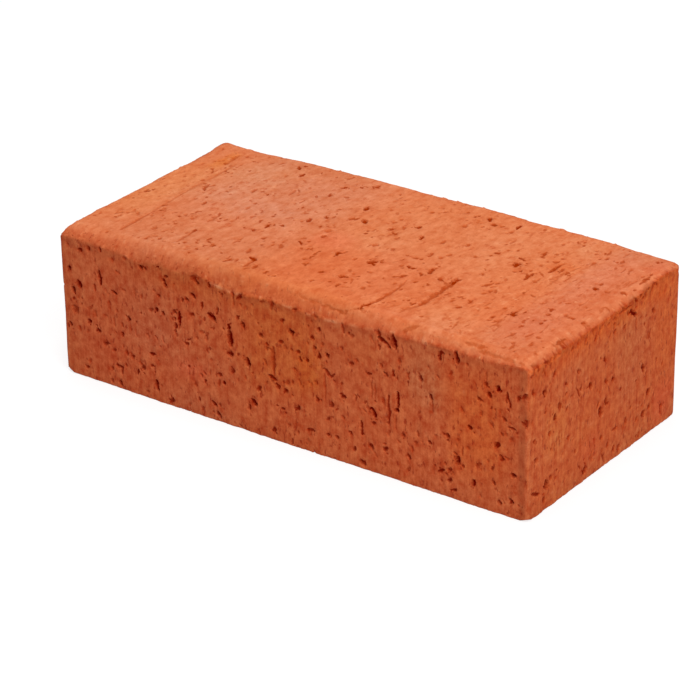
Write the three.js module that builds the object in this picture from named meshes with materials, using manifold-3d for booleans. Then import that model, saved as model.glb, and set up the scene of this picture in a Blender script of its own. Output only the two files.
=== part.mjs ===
// Solid clay facing brick of normal format. Stiff clay leaves a die as a column whose section is the
// brick's plan, wires cut the column into bricks, and they are fired in one piece.
// Millimetres. +X runs along the length, +Y across the width, +Z up. The origin is the middle of the
// underside. The front is the stretcher at -Y. It and the header at +X carry the marks that grit left.
import * as THREE from "three";
import { mergeVertices } from "three/addons/utils/BufferGeometryUtils.js";
import Module from "manifold-3d";

// The brick
const LENGTH = 240;
const WIDTH = 115;
const HEIGHT = 71; // in the middle, where the upper bed is highest
const CROWN = 1.7; // how much lower the upper bed is at its ends
const CORNER_RADIUS = 3; // the upright arrises, which the die's corners round
const FOOT_RADIUS = 0.6; // the lower arrises, which the wire leaves nearly sharp
const FIRED_CLAY = { color: 0xcc6b3e, roughness: 0.94, metalness: 0 };

// The cutting wire enters at the back and draws the clay down over the arrises where it leaves. Each
// fall is from the bed to the upper arris, and each reach is how far in from it the bed begins to fall.
const FRONT_LEFT_FALL = 3.3;
const FRONT_MIDDLE_FALL = 7.5;
const FRONT_RIGHT_FALL = 2.2;
const FRONT_LEFT_REACH = 7.5;
const FRONT_RIGHT_REACH = 4.5;
const END_FRONT_FALL = 3.6; // at either end of the brick, next to the front
const END_BACK_FALL = 1.2; // and next to the back
const END_REACH = 5;
const BACK_FALL = 0.6;
const BACK_REACH = 2;

// The wire drags the clay in waves, so those arrises rise above their even line and dip below it. Each
// crest or dip lies at a share of the arris's length, and the waves die away this far in from it.
const WAVE_REACH = 9;
const FRONT_WAVES = [
  { at: 0.14, rise: 0 },
  { at: 0.18, rise: -1.5 },
  { at: 0.23, rise: 0.6 },
  { at: 0.27, rise: -0.1 },
  { at: 0.32, rise: 0.9 },
  { at: 0.4, rise: -1.2 },
  { at: 0.49, rise: -0.1 },
  { at: 0.6, rise: -0.6 },
  { at: 0.74, rise: 1 },
  { at: 0.81, rise: 1 },
  { at: 0.93, rise: -0.7 },
  { at: 0.98, rise: 0 },
];
const HEADER_WAVES = [
  { at: 0.1, rise: 0 },
  { at: 0.6, rise: -0.7 },
  { at: 0.87, rise: 0.8 },
  { at: 1, rise: 0.1 },
];

// How finely round stretches are divided
const ARC_STEPS = 5; // round a lower arris
const ROLL_STEPS = 6; // across the rolled front arris
const BACK_STEPS = 3; // across the back arris
const BED_STEPS = 8; // across the rest of the upper bed
const END_STEPS = 8; // along each rounded end
const BODY_STEPS = 40; // along the brick between its ends; even, so that one falls in the middle
const GOUGE_STEPS = 10; // along a gouge
const GOUGE_SIDES = 10; // around a gouge
const GOUGE_RISE = 0.2; // how far a gouge's axis stands off its face, so that its rim is crisp

// A gouge is as long, wide and deep as its own sizes say, and `at` gives its middle as shares of its
// face's two sides. It runs across the bed or up an upright face. `lean` is how far its far end lies
// to the side of its near end, and `bow` how far its middle is pushed sideways.
const BED_GOUGES = [
  { at: [0.731, 0.235], length: 36, width: 3.2, depth: 1.3, lean: 2, bow: 0.8 },
  { at: [0.664, 0.169], length: 28, width: 1.8, depth: 0.9, lean: 1.8, bow: 1.6 },
  { at: [0.118, 0.588], length: 6, width: 2.6, depth: 0.9, lean: 1.2, bow: 0 },
  { at: [0.391, 0.117], length: 9, width: 2.6, depth: 1, lean: -2.5, bow: 0 },
  { at: [0.839, 0.684], length: 8, width: 2, depth: 0.9, lean: 0.4, bow: 0 },
  { at: [0.818, 0.582], length: 8, width: 2, depth: 0.9, lean: 0, bow: 0 },
  { at: [0.693, 0.921], length: 5, width: 2.5, depth: 0.9, lean: 0.8, bow: 0 },
];
const STRETCHER_GOUGES = [
  { at: [0.388, 0.589], length: 12, width: 2.6, depth: 2, lean: 0, bow: 0.3 },
  { at: [0.094, 0.723], length: 8, width: 2, depth: 1.5, lean: 0, bow: 0 },
  { at: [0.276, 0.599], length: 9, width: 2, depth: 1.4, lean: 0.8, bow: 0 },
  { at: [0.742, 0.518], length: 7, width: 1.8, depth: 1.2, lean: 0, bow: 0 },
  { at: [0.692, 0.394], length: 5, width: 2.4, depth: 1.5, lean: 0, bow: 0 },
  { at: [0.809, 0.597], length: 4, width: 2.2, depth: 1.4, lean: -1.4, bow: 0 },
  { at: [0.962, 0.732], length: 7, width: 1.7, depth: 1.2, lean: -1.4, bow: 0 },
  { at: [0.216, 0.1], length: 6, width: 2, depth: 1.3, lean: 0, bow: 0 },
];
const HEADER_GOUGES = [
  { at: [0.748, 0.455], length: 5, width: 2.4, depth: 1.6, lean: -1.6, bow: 0 },
  { at: [0.677, 0.865], length: 6, width: 2, depth: 1.2, lean: -5, bow: 0 },
  { at: [0.114, 0.167], length: 5, width: 2.4, depth: 1.3, lean: -0.6, bow: 0 },
];

const wasm = await Module();
wasm.setup();

// A closed mesh through outlines that have as many points each. An outline turns anticlockwise when it
// is seen from the outline after it, and each end is closed by a fan about its middle.
function loft(outlines) {
  const count = outlines[0].length;
  const points = outlines.flat();
  const triangles = [];
  for (let row = 0; row + 1 < outlines.length; row++) {
    for (let i = 0; i < count; i++) {
      const here = row * count + i;
      const beside = row * count + ((i + 1) % count);
      triangles.push(here, beside, beside + count, here, beside + count, here + count);
    }
  }
  const closeEnd = (outline, first, turned) => {
    const middle = new THREE.Vector3();
    outline.forEach((point) => middle.addScaledVector(point, 1 / count));
    points.push(middle);
    for (let i = 0; i < count; i++) {
      const edge = [first + i, first + ((i + 1) % count)];
      triangles.push(points.length - 1, ...(turned ? edge.reverse() : edge));
    }
  };
  closeEnd(outlines[0], 0, true);
  closeEnd(outlines[outlines.length - 1], (outlines.length - 1) * count, false);
  const geometry = new THREE.BufferGeometry().setFromPoints(points);
  geometry.setIndex(triangles);
  return geometry;
}

function solidOf(geometry) {
  const merged = mergeVertices(geometry);
  return new wasm.Manifold(
    new wasm.Mesh({
      numProp: 3,
      vertProperties: merged.getAttribute("position").array,
      triVerts: new Uint32Array(merged.getIndex().array),
    }),
  );
}

function geometryOf(solid) {
  const mesh = solid.getMesh();
  const geometry = new THREE.BufferGeometry();
  geometry.setAttribute("position", new THREE.BufferAttribute(mesh.vertProperties, 3));
  geometry.setIndex(new THREE.BufferAttribute(mesh.triVerts, 1));
  geometry.computeVertexNormals();
  return geometry;
}

// How far a quarter round of this radius stands back from its flat, at this distance from its end.
function setBack(fromEnd, radius) {
  const inside = Math.max(radius - fromEnd, 0);
  return radius - Math.sqrt(Math.max(radius ** 2 - inside ** 2, 0));
}

// Half the brick's width at x, which the upright arrises narrow at both ends.
function halfWidth(x) {
  return WIDTH / 2 - setBack(LENGTH / 2 - Math.abs(x), CORNER_RADIUS);
}

// The reach of the front's upper arris falls evenly from one end of the brick to the other.
function frontReach(x) {
  return THREE.MathUtils.mapLinear(x, -LENGTH / 2, LENGTH / 2, FRONT_LEFT_REACH, FRONT_RIGHT_REACH);
}

// How far a wavy arris stands above its even line, at a share of its length.
function waveHeight(waves, place) {
  const before = waves.findLast(({ at }) => at <= place) ?? waves[0];
  const after = waves.find(({ at }) => at > place) ?? before;
  const share = THREE.MathUtils.smoothstep(place, before.at, after.at);
  return THREE.MathUtils.lerp(before.rise, after.rise, share);
}

// The height of the upper surface over a point of the plan. The crowned bed falls as a parabola
// towards every side, and where two sides meet their falls run into one another.
function upperHeight(x, y) {
  const { lerp } = THREE.MathUtils;
  const towardsEnd = ((2 * x) / LENGTH) ** 2;
  const towardsBack = y / WIDTH + 0.5;
  const frontFall = lerp(FRONT_MIDDLE_FALL, x < 0 ? FRONT_LEFT_FALL : FRONT_RIGHT_FALL, towardsEnd);
  const endFall = lerp(END_FRONT_FALL, END_BACK_FALL, towardsBack);
  const share = (distance, reach) => Math.min(Math.max(1 - distance / reach, 0), 1) ** 2;
  const front = frontFall * share(halfWidth(x) + y, frontReach(x));
  const back = BACK_FALL * share(halfWidth(x) - y, BACK_REACH);
  const end = endFall * share(LENGTH / 2 - Math.abs(x), END_REACH);
  const frontWave = waveHeight(FRONT_WAVES, x / LENGTH + 0.5) * share(halfWidth(x) + y, WAVE_REACH);
  const headerWave = waveHeight(HEADER_WAVES, towardsBack) * share(LENGTH / 2 - x, WAVE_REACH);
  const fall = Math.cbrt(front ** 3 + back ** 3 + end ** 3);
  return HEIGHT - CROWN * towardsEnd - fall + frontWave + headerWave;
}

// The brick's section across its length at x, from the underside up the back, over and down the front.
function sectionAt(x) {
  const half = halfWidth(x);
  const foot = setBack(LENGTH / 2 - Math.abs(x), FOOT_RADIUS);
  const footOf = (side) => {
    const points = [];
    for (let i = 0; i < ARC_STEPS; i++) {
      const turn = (i / ARC_STEPS) * (Math.PI / 2);
      const inset = FOOT_RADIUS * (1 - Math.sin(turn));
      points.push([side * (half - inset), foot + FOOT_RADIUS * (1 - Math.cos(turn))]);
    }
    points.push([side * half, foot + FOOT_RADIUS]);
    return points;
  };
  const across = [];
  for (let i = 0; i < BACK_STEPS; i++) {
    across.push(half - (BACK_REACH * i) / BACK_STEPS);
  }
  const [bedBack, bedFront] = [half - BACK_REACH, frontReach(x) - half];
  for (let i = 0; i < BED_STEPS; i++) {
    across.push(THREE.MathUtils.lerp(bedBack, bedFront, i / BED_STEPS));
  }
  for (let i = 0; i <= ROLL_STEPS; i++) {
    across.push(bedFront - (frontReach(x) * i) / ROLL_STEPS);
  }
  const upper = across.map((y) => [y, upperHeight(x, y)]);
  return [...footOf(1), ...upper, ...footOf(-1).reverse()].map(([y, z]) => new THREE.Vector3(x, y, z));
}

// Places along the brick where its section is taken: close together round both ends.
function stations() {
  const rounded = Math.max(END_REACH, CORNER_RADIUS, FOOT_RADIUS);
  const end = [];
  for (let i = 0; i < END_STEPS; i++) {
    end.push(LENGTH / 2 - rounded * (1 - Math.cos((i / END_STEPS) * (Math.PI / 2))));
  }
  const body = [];
  for (let i = 0; i <= BODY_STEPS; i++) {
    body.push((LENGTH / 2 - rounded) * (1 - (2 * i) / BODY_STEPS));
  }
  const otherEnd = end.map((x) => -x).reverse();
  return [...end, ...body, ...otherEnd].reverse();
}

// The faces that carry gouges. `point` turns distances along a face's two sides into a place on it.
const BED = {
  sides: [LENGTH, WIDTH],
  outward: new THREE.Vector3(0, 0, 1),
  point: (a, b) => {
    const [x, y] = [a - LENGTH / 2, b - WIDTH / 2];
    return new THREE.Vector3(x, y, upperHeight(x, y));
  },
};
const STRETCHER = {
  sides: [LENGTH, HEIGHT],
  outward: new THREE.Vector3(0, -1, 0),
  point: (a, b) => new THREE.Vector3(a - LENGTH / 2, -WIDTH / 2, b),
};
const HEADER = {
  sides: [WIDTH, HEIGHT],
  outward: new THREE.Vector3(1, 0, 0),
  point: (a, b) => new THREE.Vector3(LENGTH / 2, a - WIDTH / 2, b),
};

// The clay that grit tore out of a face: a spindle whose axis lies just off the surface.
function gouge(face, { at, length, width, depth, lean, bow }) {
  const outlines = [];
  for (let step = 0; step <= GOUGE_STEPS; step++) {
    const turn = (step / GOUGE_STEPS) * Math.PI;
    const swell = Math.max(Math.sin(turn), 0.04); // its ends are blunt by this share of its width
    const along = -Math.cos(turn) / 2;
    const a = at[0] * face.sides[0] + lean * along + bow * Math.sin(turn);
    const b = at[1] * face.sides[1] + length * along;
    const centre = face.point(a, b).addScaledVector(face.outward, GOUGE_RISE);
    const aside = face.point(a + 1, b).sub(face.point(a - 1, b)).normalize();
    const outline = [];
    for (let i = 0; i < GOUGE_SIDES; i++) {
      const angle = (i / GOUGE_SIDES) * Math.PI * 2;
      outline.push(
        centre
          .clone()
          .addScaledVector(face.outward, Math.cos(angle) * swell * (depth + GOUGE_RISE))
          .addScaledVector(aside, (Math.sin(angle) * swell * width) / 2),
      );
    }
    outlines.push(outline);
  }
  return loft(outlines);
}

function brickGeometry() {
  let solid = solidOf(loft(stations().map(sectionAt)));
  const cut = (face, gouges) => {
    gouges.forEach((sizes) => {
      solid = solid.subtract(solidOf(gouge(face, sizes)));
    });
  };
  cut(BED, BED_GOUGES);
  cut(STRETCHER, STRETCHER_GOUGES);
  cut(HEADER, HEADER_GOUGES);
  return geometryOf(solid);
}

const brick = new THREE.Mesh(brickGeometry(), new THREE.MeshStandardMaterial(FIRED_CLAY));
brick.name = "brick";

const part = new THREE.Group();
part.add(brick);

export default part;
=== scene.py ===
import bpy
import numpy as np
from mathutils import Matrix, Vector


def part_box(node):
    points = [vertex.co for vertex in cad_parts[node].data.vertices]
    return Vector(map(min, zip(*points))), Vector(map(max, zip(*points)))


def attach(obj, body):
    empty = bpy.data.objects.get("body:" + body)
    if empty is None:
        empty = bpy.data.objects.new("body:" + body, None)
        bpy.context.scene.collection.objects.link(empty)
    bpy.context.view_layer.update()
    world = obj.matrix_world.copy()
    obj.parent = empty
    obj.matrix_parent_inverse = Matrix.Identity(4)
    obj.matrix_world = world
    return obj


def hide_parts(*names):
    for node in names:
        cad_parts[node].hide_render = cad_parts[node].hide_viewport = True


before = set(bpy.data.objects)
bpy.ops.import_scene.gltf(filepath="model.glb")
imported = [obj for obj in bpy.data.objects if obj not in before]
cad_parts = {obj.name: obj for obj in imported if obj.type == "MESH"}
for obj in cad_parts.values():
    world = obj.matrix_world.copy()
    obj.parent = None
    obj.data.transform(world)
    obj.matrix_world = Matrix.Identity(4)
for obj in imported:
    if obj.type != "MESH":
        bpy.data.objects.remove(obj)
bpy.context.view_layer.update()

# ---- Sizes, in millimetres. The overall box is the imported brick's.
METRE = 1000.0
lowest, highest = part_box("brick")
LENGTH, WIDTH, HEIGHT = (round(side * METRE, 3) for side in highest - lowest)
CROWN = 1.7
CORNER_RADIUS = 3.0
FOOT_RADIUS = 0.6
# How far the bed falls to its sides, and over how wide a border
FRONT_LEFT_FALL, FRONT_MIDDLE_FALL, FRONT_RIGHT_FALL = 3.3, 7.5, 2.2
FRONT_LEFT_REACH, FRONT_RIGHT_REACH = 7.5, 4.5
END_FRONT_FALL, END_BACK_FALL, END_REACH = 3.6, 1.2, 5.0
BACK_FALL, BACK_REACH = 0.6, 2.0
# The waves of the front's and the header's upper arrises: the share of the way along, and the height
FRONT_WAVES = [(0.14, 0), (0.18, -1.5), (0.23, 0.6), (0.27, -0.1), (0.32, 0.9), (0.4, -1.2), (0.49, -0.1)]
FRONT_WAVES += [(0.6, -0.6), (0.74, 1), (0.81, 1), (0.93, -0.7), (0.98, 0)]
HEADER_WAVES = [(0.1, 0), (0.6, -0.7), (0.87, 0.8), (1, 0.1)]
WAVE_REACH = 9.0  # how far over the bed they fade out

CELL = 0.4  # of the fine mesh before it is thinned
FOOT_ROWS = 4
MOST_TRIANGLES = 190_000
TINY = 1e-6  # in place of 0 where it would divide

SEED = 7

# ---- Noise: smooth random values between -1 and 1, about one bump to each unit of length
NOISE_SIZE = 4096
LAYER_STEP = 131
noise_order = np.random.default_rng(SEED).permutation(NOISE_SIZE)
noise_values = np.random.default_rng(SEED + 1).uniform(-1, 1, NOISE_SIZE)


def smooth(share):
    """A step without corners from 0 to 1."""
    share = np.clip(share, 0, 1)
    return share * share * (3 - 2 * share)


def bell(*shares):
    """1 where all shares are 0, a third where one of them is 1, and next to nothing from 2 on."""
    return np.exp(-sum(share**2 for share in shares))


def value_at(place, table):
    """table lists places with their values, and between them the values change evenly."""
    return np.interp(place, *np.transpose(table))


def noise(points, layer):
    """points has three columns. Each layer is a different noise."""
    cell = np.floor(points).astype(np.int64)
    part = smooth(points - cell)
    total = np.zeros(len(points))
    for corner in np.ndindex(2, 2, 2):
        step = corner[::-1]
        at = cell + step
        weight = np.where(step, part, 1 - part).prod(axis=1)
        slot = layer * LAYER_STEP
        for axis in range(3):
            slot = noise_order[(slot + at[:, axis]) % NOISE_SIZE]
        total += weight * noise_values[slot]
    return total


def rough(points, size, layer, octaves):
    """Noise whose largest bumps are `size` across, with finer and weaker ones on them."""
    total = np.zeros(len(points))
    for octave in range(octaves):
        total += noise(points * (2**octave / size), layer + octave) / 2**octave
    return total


# ---- The brick's plain shape
def set_back(from_end, radius):
    """How far a quarter round stands back from its flat, at this distance from its end."""
    inside = np.maximum(radius - from_end, 0)
    return radius - np.sqrt(np.maximum(radius**2 - inside**2, 0))


def front_reach(x):
    return FRONT_LEFT_REACH + (FRONT_RIGHT_REACH - FRONT_LEFT_REACH) * (x / LENGTH + 0.5)


def from_sides(x, y):
    """How far each point is from the front, the back and the nearer end."""
    half_width = WIDTH / 2 - set_back(LENGTH / 2 - abs(x), CORNER_RADIUS)
    return half_width + y, half_width - y, LENGTH / 2 - abs(x)


def wave_height(waves, place):
    """Between a crest and a dip the arris follows a smooth step."""
    at, rise = np.transpose(waves)
    after = np.clip(np.searchsorted(at, place, side="right"), 1, len(at) - 1)
    share = smooth((place - at[after - 1]) / (at[after] - at[after - 1]))
    return rise[after - 1] + (rise[after] - rise[after - 1]) * share


def upper_height(x, y):
    """The crowned bed, which falls as a parabola towards every side."""
    towards_end = (2 * x / LENGTH) ** 2
    towards_back = y / WIDTH + 0.5
    corner_fall = np.where(x < 0, FRONT_LEFT_FALL, FRONT_RIGHT_FALL)
    front_fall = FRONT_MIDDLE_FALL + (corner_fall - FRONT_MIDDLE_FALL) * towards_end
    end_fall = END_FRONT_FALL + (END_BACK_FALL - END_FRONT_FALL) * towards_back
    front, back, end = from_sides(x, y)

    def share(distance, reach):
        return np.clip(1 - distance / reach, 0, 1) ** 2

    falls = [front_fall * share(front, front_reach(x)), BACK_FALL * share(back, BACK_REACH)]
    falls.append(end_fall * share(end, END_REACH))
    waves = wave_height(FRONT_WAVES, x / LENGTH + 0.5) * share(front, WAVE_REACH)
    waves += wave_height(HEADER_WAVES, towards_back) * share(LENGTH / 2 - x, WAVE_REACH)
    return HEIGHT - CROWN * towards_end - np.cbrt(sum(fall**3 for fall in falls)) + waves


across_x, across_y = [
    np.linspace(-side / 2, side / 2, round(side / CELL) + 1) for side in (LENGTH, WIDTH)
]
foot_turns = np.linspace(0, np.pi / 2, FOOT_ROWS + 1)
foot_heights = FOOT_RADIUS * (1 - np.cos(foot_turns))
wall_rows = round((HEIGHT - FRONT_MIDDLE_FALL) / CELL)
wall_shares = np.linspace(0, 1, wall_rows + 1)[1:]  # of the height from the foot to the arris
COUNT_X, COUNT_Y, COUNT_Z = len(across_x), len(across_y), len(foot_heights) + len(wall_shares)
all_x, all_y, all_z = np.arange(COUNT_X), np.arange(COUNT_Y), np.arange(COUNT_Z)


def keys_of(at_x, at_y, at_z):
    return (at_x * COUNT_Y + at_y) * COUNT_Z + at_z


# Each face is a grid of lattice keys, turned so that its quads face outwards.
face_keys = {
    "stretcher": keys_of(all_x[:, None], 0, all_z[None, :]),
    "back": keys_of(all_x[::-1, None], COUNT_Y - 1, all_z[None, :]),
    "header": keys_of(COUNT_X - 1, all_y[:, None], all_z[None, :]),
    "far_header": keys_of(0, all_y[::-1, None], all_z[None, :]),
    "bed": keys_of(all_x[:, None], all_y[None, :], COUNT_Z - 1),
    "underside": keys_of(all_x[::-1, None], all_y[None, :], 0),
}
UPRIGHT = ("stretcher", "back", "header", "far_header")
HIDDEN = ("back", "far_header", "underside")  # from the camera. They run against x or y.
quads = np.concatenate(
    [
        np.stack([grid[:-1, :-1], grid[1:, :-1], grid[1:, 1:], grid[:-1, 1:]], axis=-1).reshape(-1, 4)
        for grid in face_keys.values()
    ]
)
keys, quads = np.unique(quads, return_inverse=True)
quads = quads.reshape(-1, 4)
face_vertices = {name: np.searchsorted(keys, grid) for name, grid in face_keys.items()}
at_x, at_y, at_z = keys // (COUNT_Y * COUNT_Z), keys // COUNT_Z % COUNT_Y, keys % COUNT_Z

# The plan: a rectangle whose corners are squeezed onto their rounds
x, y = across_x[at_x], across_y[at_y]
over_x = np.maximum(abs(x) - (LENGTH / 2 - CORNER_RADIUS), 0)
over_y = np.maximum(abs(y) - (WIDTH / 2 - CORNER_RADIUS), 0)
squeeze = np.maximum(over_x, over_y) / np.maximum(np.hypot(over_x, over_y), TINY)
squeezed = (over_x > 0) & (over_y > 0)
x = np.where(squeezed, np.sign(x) * (LENGTH / 2 - CORNER_RADIUS + over_x * squeeze), x)
y = np.where(squeezed, np.sign(y) * (WIDTH / 2 - CORNER_RADIUS + over_y * squeeze), y)

# The heights: the foot's quarter round, then evenly up to the arris, and the bed above it
arris = upper_height(x, y)
on_foot = np.append(foot_heights, np.full(len(wall_shares), FOOT_RADIUS))[at_z]
climb = np.append(np.zeros(len(foot_heights)), wall_shares)[at_z]
z = on_foot + (arris - FOOT_RADIUS) * climb
foot = set_back(z, FOOT_RADIUS)
x = x * (1 - foot / (LENGTH / 2))
y = y * (1 - foot / (WIDTH / 2))
plain = np.stack([x, y, z], axis=1)

# Which way each vertex faces: the mean of its quads
diagonals = plain[quads[:, 2]] - plain[quads[:, 0]], plain[quads[:, 3]] - plain[quads[:, 1]]
facing = np.cross(*diagonals)
outward = np.zeros_like(plain)
for column in range(4):
    for axis in range(3):
        outward[:, axis] += np.bincount(quads[:, column], facing[:, axis], len(plain))
outward /= np.maximum(np.linalg.norm(outward, axis=1, keepdims=True), TINY)

# ---- Marks torn in the clay, by their places along a face and up or across it, as seen from outside
# A pit is (along, up, width, darkness). A slit runs from one point to another, and then has the same.
# A mark leaves out its darkness, or its width too, where they are the usual ones of its face.
STRETCHER_PITS = [
    (10.9, 44.5, 2, 1), (7.3, 41, 1.8, 1), (5.4, 51, 1.7, 1), (17.1, 62.7, 1.8, 0.7),
    (30.6, 61.1, 1.4, 0.5), (46.3, 61.6, 1.7, 1), (48.7, 61.5, 1.3), (58.3, 58.7, 1.4),
    (59.2, 56.8, 1.7, 1), (53.7, 43.6, 1.6, 1), (50.9, 43, 1.5, 0.7), (57.3, 42.9, 1.6), (55.2, 50.9, 1.3),
    (37.8, 35.3, 1.8, 1), (7.6, 31.7, 2.8, 0.6), (15.2, 27.9, 1.8, 1), (20.4, 24.7, 1.7, 0.9),
    (4.1, 24, 1.6, 1), (34, 26.9, 1.5, 0.9), (49.9, 16.5, 1.4), (23.9, 19.9, 1.9), (28.7, 17.7, 1.6, 0.7),
    (36, 18.8, 1.5, 0.7), (39.4, 17.7, 1.7), (44.5, 14, 1.8), (27.1, 8.8, 1.4, 0.7), (26.7, 2.7, 1.5, 0.7),
    (31.4, 2.6, 1.8, 0.9), (5.5, 62.2, 1.5, 0.6), (52.8, 52.7, 1.3, 0.5), (37.1, 63.3, 1.6, 0.5),
    (48.5, 30.2, 1.6, 0.4), (46.8, 3.1, 1.5, 0.6), (15.8, 34.3, 1.6, 0.4), (18.9, 32.7, 1.8, 0.4),
    (14.4, 9, 1.5, 0.5), (93.2, 33.8, 2.3, 0.9), (63.7, 45.3), (63.5, 42, 1.4), (64, 39, 1.5, 0.9),
    (63.6, 36.3, 1.3, 0.7), (64.3, 34.6, 1.2, 0.5), (74.8, 63.9, 2.2, 0.6), (84.6, 48, 1.9, 1),
    (70.7, 52.9, 1.6), (60.1, 60.8), (89.4, 59.9, 1.4), (98.9, 61.4, 1.9, 0.9), (97.3, 51.4, 1.3),
    (115.9, 62.8, 1.4), (120.9, 56.5, 1.7), (109.1, 46.8, 1.6), (112.5, 43.5, 1.4, 0.7),
    (112.4, 41.1, 1.2, 0.6), (118.3, 26.1, 1.2), (121.8, 24.6, 1.7, 0.9), (111.4, 35, 1.7, 0.5),
    (107.6, 22.1, 1.6), (115.1, 4.8, 1.8), (93.8, 26, 1.9), (80.6, 37.8, 1.7, 0.5), (75.4, 36.4, 1.6, 0.5),
    (78.1, 39.8, 1.5, 0.4), (86.4, 8, 1.6, 0.6), (77.1, 3.5, 1.4, 0.7), (60, 2.8, 1.9), (102.4, 11.7),
    (82.6, 28.2, 1.2, 0.4), (125.4, 52.3, 2.1, 1), (127.3, 62.9, 1.6), (138.2, 62.9, 1.6, 0.6),
    (135.8, 52.8), (137, 48.3, 1.4), (141, 51.3, 1.3, 0.5), (128.6, 44.3), (129.5, 41.4, 1.4),
    (133.2, 41.7, 1.4), (137.5, 32.9, 1.5, 0.5), (155.4, 46.5), (150.8, 52.1, 1.4, 0.5),
    (158.2, 48.8, 1.3, 0.5), (156, 59, 1.5, 0.5), (168.8, 64.2, 2, 0.7), (179.4, 54.8, 1.5, 0.5),
    (177.9, 31.9, 1.9, 1), (171.3, 34.9, 1.5, 0.5), (164.4, 11.6, 2.2), (172, 12.6, 1.7, 0.9),
    (173.7, 20.5, 1.4, 0.5), (180.7, 21.5), (154.5, 14.7), (150.9, 21, 1.5, 0.5), (145.1, 25),
    (137.8, 25.2), (143.3, 18), (127.8, 18.3, 1.9, 0.9), (122.9, 29, 1.5, 0.5), (143.2, 10.9),
    (147.4, 10.6), (123.1, 9.4, 1.5, 0.5), (156.2, 8.1), (160.3, 3.1, 2.2), (189.7, 49.6, 1.8, 0.9),
    (183.2, 49.8, 1.4, 0.5), (204, 56, 1.5, 0.5), (220.6, 55.7), (222.1, 51.5, 1.7, 0.9), (217.6, 48.5),
    (218.5, 42.3, 1.5, 0.5), (226.2, 55.2, 2.1, 1), (235.6, 53.8, 1.4), (238.2, 55.4, 1.7), (229.3, 42.8),
    (239, 43.5, 1.9), (232.5, 35.4, 1.5, 0.5), (225.8, 30.4, 1.8, 0.9), (228.1, 25.8),
    (231.1, 25.9, 1.3, 0.5), (212.7, 34.7, 1.8, 0.9), (209.4, 41.3, 1.4, 0.5), (202.4, 27.9, 1.8, 0.9),
    (196.7, 25.8, 1.4, 0.5), (212.3, 25.5, 1.3, 0.5), (221.8, 22.3, 1.3, 0.5), (223.5, 19.5, 1.4),
    (233.6, 19.2, 1.9, 0.9), (203.5, 12.9), (203.4, 8.3, 1.8, 0.9), (185.1, 16.5, 1.4, 0.5), (183.3, 12.6),
    (183.1, 7.1, 1.4, 0.5), (217.9, 5.6, 1.4, 0.5), (227.2, 5.3), (205.4, 4.1),
]
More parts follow.
